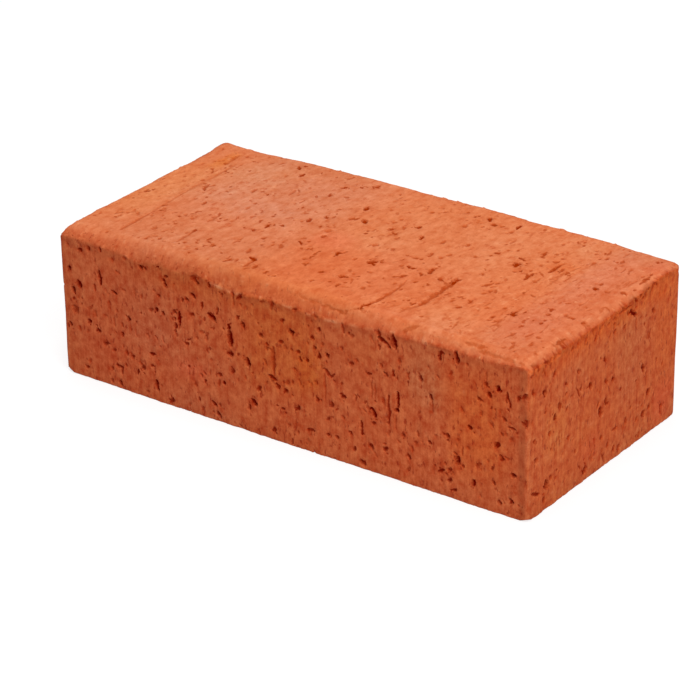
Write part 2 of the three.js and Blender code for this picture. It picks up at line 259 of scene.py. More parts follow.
STRETCHER_SLITS = [
    (22.7, 53.9, 23.1, 47.6, 1.7, 1), (11.1, 60.7, 13.5, 61.1, 1.5, 0.9),
    (23.9, 64.9, 23.9, 63.2, 1.3, 0.9), (29.3, 46.2, 31.6, 45.5, 1.2, 1), (35.1, 48.4, 37.1, 48, 1, 0.5),
    (19.3, 46.6, 19.7, 43.8, 1.5, 0.6), (55, 63.7, 56.1, 64.3, 1.1, 0.9),
    (29.5, 33.8, 29.7, 29.4, 1.2, 0.4), (23.9, 33.4, 26.2, 33.7, 1.2, 0.4),
    (48.7, 22, 52.1, 22.2, 1.4, 0.9), (42, 12, 41.4, 9.5, 1.5, 0.9), (29.4, 10.8, 33.2, 11, 1.4, 0.9),
    (33, 11, 32, 7, 1.2), (51.7, 9.5, 52.5, 5, 1.9, 1), (11.9, 5.3, 13.6, 5.6),
    (43.1, 64, 44.9, 64.2, 1, 0.5), (32, 56.3, 34.5, 55.2, 1.2, 0.5), (42, 30.9, 42, 27.9, 1.1, 0.3),
    (92.8, 46.9, 93, 44.8, 1.6, 1), (93, 44.8, 93.4, 37.8, 2.5, 1), (66.4, 46, 65.8, 38.5, 1.5, 1),
    (73.5, 56.5, 75.3, 55, 1.6, 1), (75.3, 62.7, 77.4, 61.3, 1.8, 0.9), (83, 64.1, 82.9, 61.9, 1.3, 0.9),
    (82, 49.2, 84.6, 47.7, 1.5, 1), (79.1, 53.9, 78.7, 51, 1.2), (68.5, 52.5, 68.1, 51, 1.3),
    (87, 53.7, 86.5, 51.5, 1.4), (72.2, 46.4, 74, 47, 1.2), (94.2, 62.3, 95.9, 61.4),
    (99.6, 50.1, 100.7, 47.7, 1.9, 0.9), (109.3, 61.9, 112, 62.5, 1.1, 0.6),
    (115.8, 63.4, 115.3, 59.2, 1.2, 0.5), (118.4, 46.3, 120.5, 46.7, 1.1),
    (115.5, 42.8, 115.7, 29.8, 1.7, 0.6), (113.1, 29.4, 117.1, 28.4, 1.4, 0.9),
    (117.1, 26.9, 118.2, 24.7, 1.6), (101.3, 34, 102.7, 30.4, 2.1, 1), (103.6, 15.5, 106.2, 13.6, 1.9, 1),
    (119.2, 15.9, 120.9, 16.2, 1.3), (88.6, 19.9, 89.3, 18.3, 1.5, 1), (85.8, 22.5, 87.6, 22.1, 1.7),
    (86.6, 19.9, 86.3, 16.9, 1.1, 0.6), (82.2, 23.2, 81.6, 20.9, 1, 0.5), (69.8, 21.5, 71, 22.1, 1.3),
    (79.1, 17.9, 78.7, 16.5, 1.3), (69.4, 34, 71.1, 34.6, 1.1), (69.1, 31.6, 70.6, 32.4, 1.2),
    (75.5, 8.8, 75.7, 7, 1.2), (82.4, 8.7, 84.4, 7.2, 1.5, 0.9), (84.2, 4.3, 86.3, 2.3, 1.8, 0.9),
    (139.5, 58.2, 139.5, 56.4, 1.3, 0.9), (141.4, 40.6, 144.9, 37.7, 1.2), (144.9, 37.7, 146.7, 39.4, 1.1),
    (141.9, 37.8, 142, 25.9, 0.9, 0.4), (150.3, 30.7, 151.7, 30.7, 1.5, 0.9),
    (163.4, 44.3, 165.4, 44.3, 1.2), (165.5, 40.8, 165.5, 33.8, 1, 0.4), (167.2, 40.8, 167.3, 33.8, 1, 0.4),
    (171.6, 47.6, 173.4, 46, 1.3), (176.2, 49.7, 176.2, 47, 1.2), (176.3, 64.8, 177.4, 59.4, 2.4, 1),
    (169, 61.8, 172.4, 61.3, 1.9, 0.9), (172.4, 61.3, 174.9, 59.1, 1.4), (178.3, 40, 178.4, 33, 1.4, 1),
    (177.3, 29.8, 177.4, 22.9, 1, 0.5), (173.8, 37.4, 174, 24.1, 1.1), (164.6, 29.4, 166.9, 27.9, 1.7, 1),
    (166.9, 27.9, 166.9, 25.5, 1.7, 1), (165.2, 22.8, 167, 22.8, 1.3), (159.9, 22, 160, 15.5, 1.2, 0.9),
    (126.6, 13.6, 126.6, 8.1, 1, 0.4), (133, 10.3, 136.1, 10.3, 1.3), (193.8, 43.4, 195.3, 41.9, 1.6, 1),
    (195.2, 41, 195.2, 36, 1, 0.5), (198.7, 63.6, 198.8, 59.6, 1.7, 0.9), (142.4, 47.6, 144, 45.6, 1.6, 1),
    (139.2, 46.4, 139.4, 44.4, 1.3, 0.9), (198.7, 63.4, 200.9, 63.2, 1.1), (206.9, 65.3, 207, 60.9, 2.2, 1),
    (230.1, 54.7, 231.3, 51.8, 1.3, 0.9), (231.3, 51.8, 231.7, 48.8, 1.3, 0.9),
    (230.8, 39.7, 234.4, 39.7, 1.2), (192.9, 22.8, 194.3, 21.7, 1.6, 0.9), (209.6, 25, 209.6, 21, 1, 0.5),
    (224.5, 14.2, 224.5, 12.3, 1.3), (207.3, 18.7, 207.3, 17.2, 2.1, 1),
    (200.6, 11.8, 198.3, 10.9, 1.4, 0.9), (214.8, 10.8, 214.8, 9.5, 1.6, 1),
    (231.9, 8.4, 233.5, 7.2, 1.6, 0.9),
]
BED_PITS = [
    (58, 63.7, 1.6), (58.6, 57.5, 1.6, 0.4), (65.8, 51.9), (28.1, 36.7, 1.6, 0.5), (40, 37.8, 2, 0.4),
    (45.1, 36.3, 1.6, 0.5), (17.8, 29.9, 2.2, 0.4), (13.9, 25.2, 2, 0.5), (28.2, 29.5, 1.6, 0.4),
    (37.5, 19.8, 2.4, 0.5), (70.3, 18.4, 2, 0.5), (62.7, 12.2, 1.8, 0.4), (79.3, 99.1, 2, 0.8),
    (90.9, 108.3, 2.2, 0.8), (86.5, 91.2, 1.8), (79.3, 89.1, 2, 0.8), (107, 98.4, 1.5, 0.4),
    (111.8, 89.6, 1.5, 0.4), (115.8, 88.1, 1.5, 0.4), (119.3, 92.2, 1.5, 0.4), (121.2, 83.9, 1.8),
    (120.2, 79.8, 1.8), (102.8, 72.6, 1.8, 0.7), (93.1, 68, 2, 0.8), (102.4, 56.6, 2.8, 0.5),
    (82.2, 50.9, 2, 0.8), (84.2, 36, 1.8), (98.4, 45.1, 1.8), (111.2, 28.3, 1.8, 0.7),
    (114.3, 24.4, 1.8, 0.7), (124.5, 21.8, 2, 0.8), (127.4, 27.2, 1.6, 0.4), (134.5, 23.1, 2.6, 0.9),
    (137.8, 16.2, 1.8), (146.6, 24.6, 1.8), (148, 18.9, 1.8), (126.8, 12.6, 1.8), (128.9, 39.6, 1.8),
    (136.5, 41.6, 3, 0.9), (148.5, 45.2, 1.8), (154.7, 37.9, 2, 0.8), (142.2, 32.8, 1.6, 0.4),
    (157, 61.1, 1.8), (158.5, 65.2, 1.8), (136, 56.9, 1.8), (127.1, 56.1, 2.8, 0.7), (130.9, 66.9, 1.8),
    (128, 69.8, 2, 0.8), (123.6, 72.8, 2, 0.8), (127.2, 77.5, 1.8), (131.9, 101.2, 1.8),
    (156.5, 101.8, 2, 0.8), (168.7, 44, 2.2, 0.8), (174.8, 46.6, 3, 0.9), (159.5, 43.5, 2, 0.8),
    (184.4, 34.6), (184.4, 30), (190.2, 50), (191.7, 46.2), (193.5, 47.2), (190.5, 43.1),
    (189.5, 26.3, 2, 0.8), (199.5, 31.9), (205.3, 36), (211, 33.8, 2.4, 0.9), (206, 23.6), (166.7, 99.7),
    (172.2, 103.3), (176.8, 109.9), (197.9, 84.9), (194.9, 78.8), (201.1, 64.3), (186.2, 73.7, 2.7, 0.9),
    (189.1, 67.5), (175.9, 83.1), (174, 79, 2, 0.8), (168.3, 70.3), (211.4, 93), (213.8, 100.2),
    (230.2, 72.7), (223.4, 54.8), (214.9, 48.9), (232.2, 44.2, 1.9, 0.7), (236.9, 44.2, 1.7, 0.7),
    (228.5, 44.9), (218.1, 29.6), (220.5, 18.3), (230.1, 21.8), (231, 14.6), (225, 12.1),
    (8.8, 88.6, 1.6, 0.4), (13.7, 95.4, 2, 0.4),
]
BED_SLITS = [
    (128, 2.4, 139, 2.3, 0.7, 0.3), (139, 2.3, 147, 2, 0.8, 0.45), (147, 2, 152.6, 2, 1),
    (152.6, 2, 157.5, 3.9, 0.8, 0.4), (180.2, 0.8, 186.8, 3.5, 1.5, 0.5),
    (208.8, 2.6, 218.5, 3.5, 1.4, 0.5), (216.5, 1.6, 225.8, 1.6, 1.1, 0.45),
    (225.8, 1.6, 237.2, 1, 1.1, 0.4), (16.4, 104.7, 18.2, 92.3, 2.2, 0.5),
    (22.2, 95.5, 23.7, 52.1, 1.7, 0.35), (23.7, 52.1, 25.7, 31.5, 1.7, 0.35),
    (25.7, 31.5, 26.7, 9.9, 1.7, 0.5), (26.8, 70.7, 28.4, 64.5, 2, 0.7), (29.7, 71.3, 28.1, 68.2, 1.3),
    (26.3, 87.8, 27.4, 85.7, 1.3, 0.4), (47.9, 107.7, 50, 105.8, 1.7, 0.9),
    (54.9, 103, 55.3, 98.8, 1.8, 0.9), (59.2, 96.8, 61.8, 94.7, 1.3, 0.4),
    (63.5, 85.4, 64.2, 79.2, 1.5, 0.5), (74.6, 85.5, 75.6, 83.9), (48.1, 77.6, 49, 73, 1.8),
    (71.3, 51.1, 72.1, 48.5, 2, 0.7), (76.9, 49.3, 78, 45.2, 1.8, 0.9), (74.5, 41.6, 75.4, 39.6, 1.7, 0.8),
    (38.2, 53.8, 39.2, 50.7, 1.8, 0.7), (50.8, 47.5, 52.9, 44.6, 1.4), (52.9, 45.1, 53.1, 36.9, 1.5, 0.5),
    (53.7, 28.1, 54.3, 26.1, 1.8, 0.8), (54.3, 26.1, 55.6, 13.2, 1.3, 0.5), (66.3, 21, 68, 20, 1.4),
    (76.3, 31.8, 76.4, 24.6, 1.2, 0.4), (84.7, 104.1, 86.8, 103.1, 1.6, 0.8),
    (101, 87.6, 102.1, 83.4, 2, 0.9), (107.5, 75.2, 110.1, 72.1, 2.6, 0.9),
    (87.8, 63.3, 89.1, 59.9, 2.3, 0.8), (104, 52, 104.6, 49.9, 2.2, 0.7), (99, 41.7, 101.2, 39.6, 1.8, 0.9),
    (94.2, 34.4, 96.3, 31.6, 2.4), (86.5, 24.1, 87.6, 20, 1.8), (91.1, 17.7, 95.2, 16.2, 2.3, 1),
    (94.9, 15.4, 94.9, 8.2, 1.5), (98.8, 12.8, 99.3, 9.2, 2, 0.7), (119.1, 41.6, 120, 38.6, 1.8, 0.9),
    (136.5, 41.1, 139.6, 38.5, 1.3), (150.5, 46.7, 152.6, 45.1, 1.6, 0.9),
    (154.5, 47, 152.6, 45.1, 1.6, 0.9), (151.6, 62.7, 152.3, 59.6, 2.2, 0.7),
    (131.6, 82.3, 132.4, 80.3, 2.2, 0.9), (138.8, 74.6, 139.5, 71.5, 1.9, 0.9),
    (148.6, 76.1, 149.3, 73, 1.9), (146.9, 94.7, 147.8, 92.6, 2.2), (150.9, 107, 152.9, 103.9, 2, 0.9),
    (158.7, 79.1, 159.3, 77, 2.3), (158.3, 34.8, 159.8, 27.6, 1.5, 0.5), (159.8, 27.6, 160.2, 16.3),
    (160.2, 16.3, 159.3, 8.1, 1.8, 0.65), (159.3, 8.1, 157.3, 3.9, 1.9, 0.9),
    (174.7, 47.6, 175.2, 43.4, 2.6, 1), (175.2, 43.4, 175.3, 34.7, 2.8, 0.7),
    (175.3, 34.7, 175.7, 26.5, 3, 0.65), (175.7, 26.5, 176.3, 18.2, 2.8),
    (176.3, 18.2, 173.4, 12.6, 1.7, 0.5), (173.4, 12.6, 173.5, 8, 1.2, 0.4),
    (168.7, 44, 173.9, 41.4, 0.9, 0.5), (160.7, 50.4, 161.8, 45.8, 2.1, 0.8),
    (179.7, 27.5, 180.3, 22.3, 1.2, 0.4), (190.5, 34.3, 190.9, 31.8, 1.8, 0.7),
    (211, 34.4, 210.9, 41.5, 1.1, 0.4), (206.5, 52.9, 209.1, 51.9, 1.4), (166, 108, 166.7, 103.8, 1.9, 0.9),
    (190.1, 89.7, 190.8, 85.5, 1.9, 0.7), (201.3, 82.8, 201.4, 74.6, 1.7, 0.8),
    (204.1, 81.3, 204.6, 78.2, 1.9, 0.7), (207.9, 79.7, 208, 76.6, 1.5, 0.7),
    (207.2, 74.5, 207.4, 62.2, 1.2, 0.4), (196.4, 70.5, 196.5, 63.3, 1.7, 0.8),
    (183.6, 79.9, 186, 79.4, 1.8, 0.9), (220, 102.7, 220.5, 99.6, 1.4),
    (224.2, 73.8, 224.7, 71.7, 2.3, 0.9), (227, 24.9, 226.1, 18.8, 1.3), (236.8, 95.1, 236.9, 87, 1.3, 0.7),
    (238, 29.6, 238, 22.6, 1.3, 0.7),
]
HEADER_PITS = [
    (91, 20.2, 2, 0.9), (87.5, 11.5, 2.2, 0.9), (92.1, 12.5), (73.6, 13.9), (47.8, 8.3, 1.6, 0.4),
    (42.4, 4.9, 2.4, 0.9), (64.4, 5.1), (68.4, 3.9), (57.5, 38.8), (45.6, 41.4, 1.8, 0.8),
    (56.4, 49.1, 1.6, 0.8), (22.3, 42.8), (15.3, 33.5), (11.6, 52.6, 1.9, 0.9), (3, 56.2), (36.2, 52),
    (18.1, 58.1), (4.3, 34.7), (5.7, 25.7), (16.6, 13.3), (11.7, 5.2), (29.2, 25.5, 1.6, 0.6),
    (54.6, 14.2, 1.6, 0.6), (101.8, 8.7), (63.1, 58.3), (93.5, 56.1), (89.6, 46.5, 1.5, 0.4),
]
HEADER_SLITS = [
    (85.5, 34.5, 87.2, 31.1, 2, 1), (89.1, 30.5, 89.1, 23.5, 1, 0.4), (75.2, 63.3, 77.7, 60.9, 1.6, 0.9),
    (77.7, 60.9, 80.3, 59.4, 1.6, 0.9), (79.8, 58.4, 79.8, 53.4, 1, 0.4),
    (66.7, 65.2, 75.7, 65.3, 0.8, 0.6), (53.7, 27.9, 54.1, 25.9, 2.3, 0.9), (57.6, 31, 58, 28, 1.5, 0.8),
    (62.2, 38.6, 62.4, 36.6, 1.5, 0.9), (18.5, 39.9, 19.5, 37.9, 1.9, 0.9),
    (26.5, 50.8, 27.9, 49.9, 1.3, 0.8), (12.8, 13, 13.8, 9.7, 2.8, 1), (3.3, 11.6, 8.3, 9.4, 1.3, 0.8),
]

# Each face's pits and slits, their usual width and darkness, and how much wider and darker all of them are
MARKS = {
    "stretcher": (STRETCHER_PITS, STRETCHER_SLITS, (1.5, 0.8), 1.0, 1.0),
    "bed": (BED_PITS, BED_SLITS, (1.7, 0.6), 0.9, 1.1),
    "header": (HEADER_PITS, HEADER_SLITS, (1.6, 0.7), 1.1, 1.05),
}
# The depth of a mark beside its width: the least, and what full darkness adds. The beds' are shallower.
MARK_DEPTH, DARK_DEPTH, BED_DEPTH = 0.12, 0.6, 0.5
# How uneven a mark's outline is, as a share of its half width, and how many times more so on the bed
RAGGED, BED_RAGGED = 0.35, 1.5
CUT_EDGE, DARK_EDGE, EDGE_SOFTNESS = 1.25, 2.4, 0.8  # in half widths from the middle
STRAY, STRAY_GAIN, MOST_STRAY, STRAY_SIZE = 0.15, 0.12, 0.4, 2.5  # of a mark from its line
FACE_STEP = 9.7  # between the noises of the faces
CRUMBLED = 0.8  # a mark at least as dark as this has crumbs torn out around it
CRUMB_WIDTHS, CRUMB_DARKNESSES, CRUMB_SCATTER = (0.5, 0.9), (0.3, 0.8), 1.6
# Small marks at random: the square millimetres to each group, their widths and their darknesses
WALL_FLECKS = (190, (0.8, 1.3), (0.3, 0.75))
BED_FLECKS = (100, (0.8, 1.3), (0.35, 0.9))
HIDDEN_MARKS = (150, (1.0, 1.9), (0.4, 1.0))
SCRAPED_FLECKS = (60, (0.5, 0.9), (0.3, 0.6))
SCRAPED_AREA = ((195, 6), (237, 95))  # of the bed, near the header
BARE_ROLL, BARE_END = 5.0, 3.0  # no grit was torn from these borders of the bed
# The nicks of the header's arris, and how far they stray down the header and over the bed
NICK_STEP, NICK_WIDTHS, NICK_DARKNESSES = 1.7, (0.7, 1.7), (0.3, 0.8)
NICKS_ON_HEADER, NICK_DROP, NICK_INSET = 0.6, 1.6, 1.2

# Along the brick: how high the back arris rises, how strong the lip of drawn clay at the stretcher's
# arris is, how soon the roll over it takes the bed's colour, and the painted shade (below 0) or painted
# highlight (above 0) on the roll there
BACK_RISE = [(11, -0.4), (34, -0.4), (43, 0.3), (54, 0.5), (80, 0.2), (97, 0.1), (114, -0.5), (133, 0)]
BACK_RISE += [(158, 0.3), (170, 0), (182, 0.4), (200, 0.4), (217, -0.3), (230, -0.3), (240, 0)]
LIP = [(0, 0.1), (74, 0.1), (82, 1), (150, 1), (162, 0.5), (180, 0.7), (202, 0.8), (212, 0.2)]
ROLL_REACH = [(0, 0.9), (75, 0.85), (120, 0.75), (150, 0.4), (240, 0.3)]
ROLL_LIGHT_AND_SHADE = [(0, -0.3), (74, -0.4), (84, 0.1), (150, 0.1), (160, 0.05), (240, 0)]
# Along the header: how rough its arris is
HEADER_ROUGH = [(0, 1), (24, 1), (32, 0.4), (58, 0.5), (64, 1), (90, 1), (98, 0.5), (115, 0.4)]

# What each tone does to the clay's red, green and blue, and the patches of each face that have it:
# the tone, its strength, the middle along and up, and half the length and the height
TONES = {
    "pink": (0.96, 1.12, 1.4),
    "orange": (0.99, 0.88, 0.74),
    "amber": (1.08, 0.97, 0.64),
    "gold": (1.16, 1.04, 0.7),
    "brown": (1.0, 0.94, 0.6),
    "buff": (1.02, 1.1, 1.08),
    "straw": (1.05, 1.16, 1.06),
    "pale": (1.02, 1.2, 1.32),
    "grey": (0.98, 1.26, 1.5),
    "red": (0.96, 0.86, 0.9),
    "rose": (1.1, 0.84, 0.92),
    "dull": (0.92, 0.91, 0.89),
}
PATCHES = {
    "bed": [
        ("pink", 1.1, 60, 80, 38, 34), ("pink", 0.6, 60, 25, 38, 24), ("dull", 0.55, 60, 12, 38, 22),
        ("pale", 0.6, 40, 95, 16, 12), ("pink", 0.3, 70, 60, 14, 8), ("straw", 0.7, 11, 60, 12, 32),
        ("brown", 1, 15, 97, 3, 9), ("buff", 0.6, 155, 84, 56, 34), ("pale", 0.4, 125, 62, 10, 12),
        ("orange", 0.7, 138, 24, 39, 23), ("red", 0.3, 132, 28, 32, 24), ("orange", 0.4, 196, 45, 14, 25),
        ("pale", 0.6, 191, 14, 12, 12), ("red", 0.7, 226, 60, 13, 60), ("dull", 0.5, 236, 60, 8, 60),
        ("pink", 0.5, 220, 66, 9, 60), ("orange", 0.8, 204, 82, 7, 6), ("rose", 0.3, 236, 104, 5, 7),
        ("pale", 0.6, 203, 102, 5, 9), ("dull", 0.25, 165, 55, 70, 60), ("rose", 0.3, 110, 50, 10, 8),
        ("dull", 0.4, 97, 40, 2, 40), ("brown", 0.2, 112, 4, 44, 5), ("pale", 0.4, 10, 40, 12, 40),
        ("pale", 0.45, 32, 76, 16, 20), ("orange", 0.5, 97, 9, 8, 13), ("dull", 0.4, 95, 7, 12, 12),
        ("dull", 0.35, 88, 4, 16, 7), ("red", 0.4, 172, 4, 10, 7), ("dull", 0.6, 221, 7, 16, 12),
        ("dull", 0.7, 58, 111, 28, 7), ("dull", 0.8, 226, 110, 16, 7), ("orange", 0.6, 52, 99, 9, 8),
        ("red", 0.3, 217, 28, 12, 9), ("dull", 0.2, 217, 28, 12, 9), ("orange", 0.8, 214, 4, 9, 2.2),
        ("orange", 0.8, 180, 2.5, 8, 2),
    ],
    "stretcher": [
        ("brown", 0.8, 120, 44, 20, 22), ("brown", 0.6, 134, 36, 6, 9), ("grey", 1, 191, 50, 8, 13),
        ("amber", 0.7, 216, 36, 14, 24), ("pink", 0.6, 48, 40, 14, 16), ("straw", 0.4, 160, 54, 10, 6),
        ("rose", 0.12, 178, 20, 30, 20), ("straw", 0.2, 175, 20, 30, 18), ("red", 0.4, 20, 16, 14, 8),
        ("rose", 0.6, 72, 20, 8, 4), ("pink", 0.4, 92, 22, 12, 12), ("dull", 0.6, 4, 36, 8, 40),
        # In the next row, the dull patch along the foot is painted shade, and the pale patch over it is
        # painted light thrown up by the floor
        ("dull", 0.5, 60, 66, 44, 6), ("dull", 0.3, 120, 0, 140, 4), ("pale", 0.25, 120, 2, 140, 8),
        ("brown", 0.4, 75, 60, 30, 5), ("red", 0.4, 40, 30, 30, 30), ("pink", 0.5, 78, 4, 20, 7),
        # In the next row, the dull and red patches in the strip beside the near crest are painted shade
        ("dull", 0.5, 237.4, 24, 1.7, 30), ("red", 0.4, 237.4, 24, 1.7, 30),
    ],
    "header": [
        ("straw", 1.1, 20, 33, 9, 12), ("pale", 0.8, 22, 28, 4, 5), ("pink", 0.7, 76, 42, 12, 20),
        ("gold", 0.9, 58, 67, 60, 8), ("pale", 0.3, 44, 55, 14, 7), ("gold", 0.45, 105, 46, 10, 24),
        ("amber", 0.35, 57, 35, 90, 60), ("rose", 0.7, 103, 11, 8, 9), ("straw", 0.5, 40, 24, 6, 8),
        # In the next row, the pale patch along the foot is painted light thrown up by the floor
        ("dull", 0.5, 22, 2, 34, 7), ("pale", 0.4, 57, 0, 60, 8), ("rose", 0.3, 46, 14, 8, 6),
        ("straw", 0.5, 73, 46, 5, 8), ("straw", 0.35, 24, 4, 13, 7), ("pale", 0.3, 1.5, 30, 2, 30),
        ("pale", 0.6, 79, 4, 11, 7), ("dull", 0.7, 110, 4, 7, 6), ("pale", 0.4, 110, 4, 7, 6),
        ("straw", 0.3, 69, 57, 12, 8), ("pale", 0.2, 69, 57, 12, 8),
    ],
}

cut = np.zeros(len(plain))  # how deep the clay is torn out at each vertex
pit = np.zeros(len(plain))  # 1 in the middle of a mark, a half at its edge
# The marks' darkness is partly the darker clay inside them and partly painted shade in their hollows
dark = np.zeros(len(plain))  # how dark the marks near it are


class Face:
    """One face of the brick as a grid of vertices, with their places along it and up or across it."""

    def __init__(self, name):
        self.name = name
        self.is_bed = name not in UPRIGHT
        self.grid = face_vertices[name]
        self.layer = list(face_keys).index(name)
        points = plain[self.grid]
        axis = 1 if name in ("header", "far_header") else 0
        direction = -1 if name in HIDDEN else 1
        self.along = (LENGTH, WIDTH)[axis] / 2 + direction * points[..., axis]
        self.up = points[..., 1] + WIDTH / 2 if self.is_bed else points[..., 2]
        self.size = self.along.max(), self.up.max()

    def tear(self, start, end, width, darkness):
        """Tears out the clay between two points of the face, with a ragged outline."""
        reach = 2 * width + 1
        slack = reach + 2
        low, high = np.minimum(start, end), np.maximum(start, end)
        middle_row, middle_column = self.along[:, self.up.shape[1] // 2], self.up[len(self.up) // 2]
        rows = np.searchsorted(middle_row, (low[0] - reach, high[0] + reach))
        columns = np.searchsorted(middle_column, (low[1] - slack, high[1] + slack))
        window = slice(*rows), slice(*columns)
        along, up = self.along[window].ravel(), self.up[window].ravel()
        run = np.subtract(end, start)
        length = np.hypot(*run)
        places = np.stack([along, up, np.full(len(along), FACE_STEP * self.layer)], axis=1)
        stray = min(STRAY + STRAY_GAIN * length, MOST_STRAY)
        along = along + stray * noise(places / STRAY_SIZE, 40)
        up = up + stray * noise(places / STRAY_SIZE, 42)
        share = ((along - start[0]) * run[0] + (up - start[1]) * run[1]) / max(length**2, TINY)
        share = np.clip(share, 0, 1)
        off = np.hypot(along - start[0] - share * run[0], up - start[1] - share * run[1])
        taper = 1 - 0.5 * np.abs(2 * share - 1) ** 3 if length > width else 1
        spread = off / (width / 2 * taper)
        uneven = noise(places / 1.1, 41) + 0.8 * noise(places / 0.6, 43)
        spread += RAGGED * (BED_RAGGED if self.name == "bed" else 1) * uneven
        depth = width * (MARK_DEPTH + DARK_DEPTH * darkness**1.5) * (BED_DEPTH if self.is_bed else 1)
        chosen = self.grid[window].ravel()
        np.maximum.at(cut, chosen, depth * smooth((CUT_EDGE - spread) / EDGE_SOFTNESS))
        np.maximum.at(pit, chosen, np.clip(1 - spread / 2, 0, 1))
        np.maximum.at(dark, chosen, darkness * smooth((DARK_EDGE - spread) / EDGE_SOFTNESS))


faces = {name: Face(name) for name in face_keys}


def tear_all(face, pits, slits, usual, wider, darker, seed):
    """Tears the slits and then the pits, which lean a little, with crumbs around the dark ones."""
    chance = np.random.default_rng(seed)
    marks = list(slits)
    for along, up, *sizes in pits:
        sizes += usual[len(sizes):]
        lean = chance.uniform(-0.25, 0.25) * sizes[0]
        half = chance.uniform(0.0, 0.4) * sizes[0]
        marks.append((along - lean, up - half, along + lean, up + half, *sizes))
    for mark in marks:
        start, end, sizes = np.array(mark[:2]), np.array(mark[2:4]), mark[4:]
        width, darkness = (*sizes, *usual[len(sizes):])
        darkness = min(darker * darkness, 1)
        face.tear(start, end, wider * width, darkness)
        if darkness < CRUMBLED:
            continue
        for _ in range(chance.integers(1, 4)):
            at = start + (end - start) * chance.uniform() + chance.normal(0, CRUMB_SCATTER, 2)
            beyond = at + chance.normal(0, 0.4, 2)
            face.tear(at, beyond, chance.uniform(*CRUMB_WIDTHS), chance.uniform(*CRUMB_DARKNESSES))


def tear_at_random(face, per_group, widths, darknesses, seed, stretch=1.0, scatter=2.2, area=None):
    """Groups of flecks, mostly along the way the clay moved."""
    chance = np.random.default_rng(seed)
    low, high = area or ((0, 0), face.size)
    span = np.subtract(high, low)
    for _ in range(int(span[0] * span[1] / per_group)):
        middle = low + chance.uniform(0, 1, 2) * span
        for _ in range(chance.integers(1, 4)):
            at = middle + chance.normal(0, scatter, 2)
            width = chance.uniform(*widths)
            length = stretch * width * chance.exponential(1.0)
            lean = chance.normal(0, 0.5 / stretch)
            run = np.array([np.sin(lean), np.cos(lean)]) * length / 2
            darkness = chance.uniform(*darknesses)
            on_border = at[1] - abs(run[1]) < BARE_ROLL or at[0] > face.size[0] - BARE_END
            if face.name != "bed" or not on_border:
                face.tear(at - run, at + run, width, darkness)


for number, (name, marks) in enumerate(MARKS.items()):
    tear_all(faces[name], *marks, SEED + 1 + number)
for number, face in enumerate(faces.values()):
    tear_at_random(face, *(BED_FLECKS if face.is_bed else WALL_FLECKS), SEED + 10 + number)
    if face.name in HIDDEN:
        tear_at_random(face, *HIDDEN_MARKS, SEED + 20 + number, scatter=7.0)

# The wire scraped the bed near the header, and nicked the arris there.
tear_at_random(faces["bed"], *SCRAPED_FLECKS, SEED + 30, stretch=4.0, area=SCRAPED_AREA)
chance = np.random.default_rng(SEED + 31)
for along in np.arange(2, WIDTH - 2, NICK_STEP):
    place = along + chance.uniform(-1, 1)
    top = float(upper_height(LENGTH / 2, place - WIDTH / 2))
    run = chance.normal(0, 0.9, 2)
    width = chance.uniform(*NICK_WIDTHS)
    darkness = chance.uniform(*NICK_DARKNESSES) * value_at(place, HEADER_ROUGH)
    if chance.uniform() < NICKS_ON_HEADER:
        face, at = faces["header"], np.array([place, top - chance.exponential(NICK_DROP)])
    else:
        face, at = faces["bed"], np.array([LENGTH - chance.exponential(NICK_INSET), place])
    face.tear(at - run, at + run, width, darkness)

# ---- Relief
# The heights of the forms
BROAD_HEIGHT, UNEVEN_HEIGHT, STREAK_HEIGHT = 0.28, 0.09, 0.05
LIP_HEIGHT, OTHER_LIP, LIP_HOLLOW = 0.25, 0.1, 0.07
CREST_HEIGHT, FEATHER_HEIGHT, CREST_HOLLOW = 0.6, 0.1, 0.15
WALL_CRUMBS, BED_CRUMBS, ARRIS_CRUMBS, SCRAPED_CRUMBS = 0.12, 0.2, 0.7, 0.5
SCRAPED_HEIGHT, ARRIS_HEIGHT, HEADER_ARRIS_HEIGHT = 0.15, 0.13, 0.22
FAR_HEADER_LEAN = 0.35
WAVER_HEIGHT, FAR_LUMP, LEFT_RUB, RIGHT_RUB = 0.25, 1.2, 1.4, 0.6
# How far they reach from their arris or corner
ARRIS_REACH, HEADER_ARRIS_REACH, WAVER_REACH, BURR_REACH = 3.0, 6.0, 5.0, 1.2
CREST_TURN, CREST_TURN_REACH = 47, 30  # degrees from the stretcher
SCRAPED_FROM, SCRAPED_TO, SCRAPED_FADE = 188, 100, 20  # along the bed, across it, and the border
# Both ends of the front's foot are knocked off: which end, and how far along, back and up it reaches
FOOT_KNOCKS = ((-1, (5.0, 6.0, 2.4)), (1, (4.0, 4.0, 1.6)))

upright = np.zeros(len(plain), bool)
for name in UPRIGHT:
    upright[faces[name].grid] = True
upper = at_z > COUNT_Z // 2
wall_top = upright & upper
near = (x > 0) & (y < 0)
from_left, from_right, from_end = x + LENGTH / 2, LENGTH / 2 - x, LENGTH / 2 - abs(x)
from_front, from_back, from_side = y + WIDTH / 2, WIDTH / 2 - y, WIDTH / 2 - abs(y)
from_top = np.where(upright, arris - z, 0)
from_arris = np.where(upright, from_top, np.minimum(from_end, from_side))

# The faces are broadly uneven, with the die's streaks up the walls and the wire's drag over the beds.
relief = BROAD_HEIGHT * rough(plain, 55.0, 1, 2) + UNEVEN_HEIGHT * rough(plain, 9.0, 5, 2)
streaks = noise(plain * [0.45, 0.45, 0.02], 11)
drags = noise(plain * [0.35, 0.03, 0.35], 13)
relief += STREAK_HEIGHT * np.where(upright, streaks, drags)

# The clay that the wire drew over the front arris stands out as a lip here and there, over a hollow.
lip_here = np.where(from_front < 1, value_at(from_left, LIP), OTHER_LIP)
lip = bell(from_top) * wall_top * lip_here
hollow = bell((from_top - 3.2) / 2) * wall_top * lip_here
relief += LIP_HEIGHT * lip * (1 + 0.6 * noise(plain / 2.2, 21) + 0.6 * noise(plain / 1.1, 24))
relief -= LIP_HOLLOW * hollow

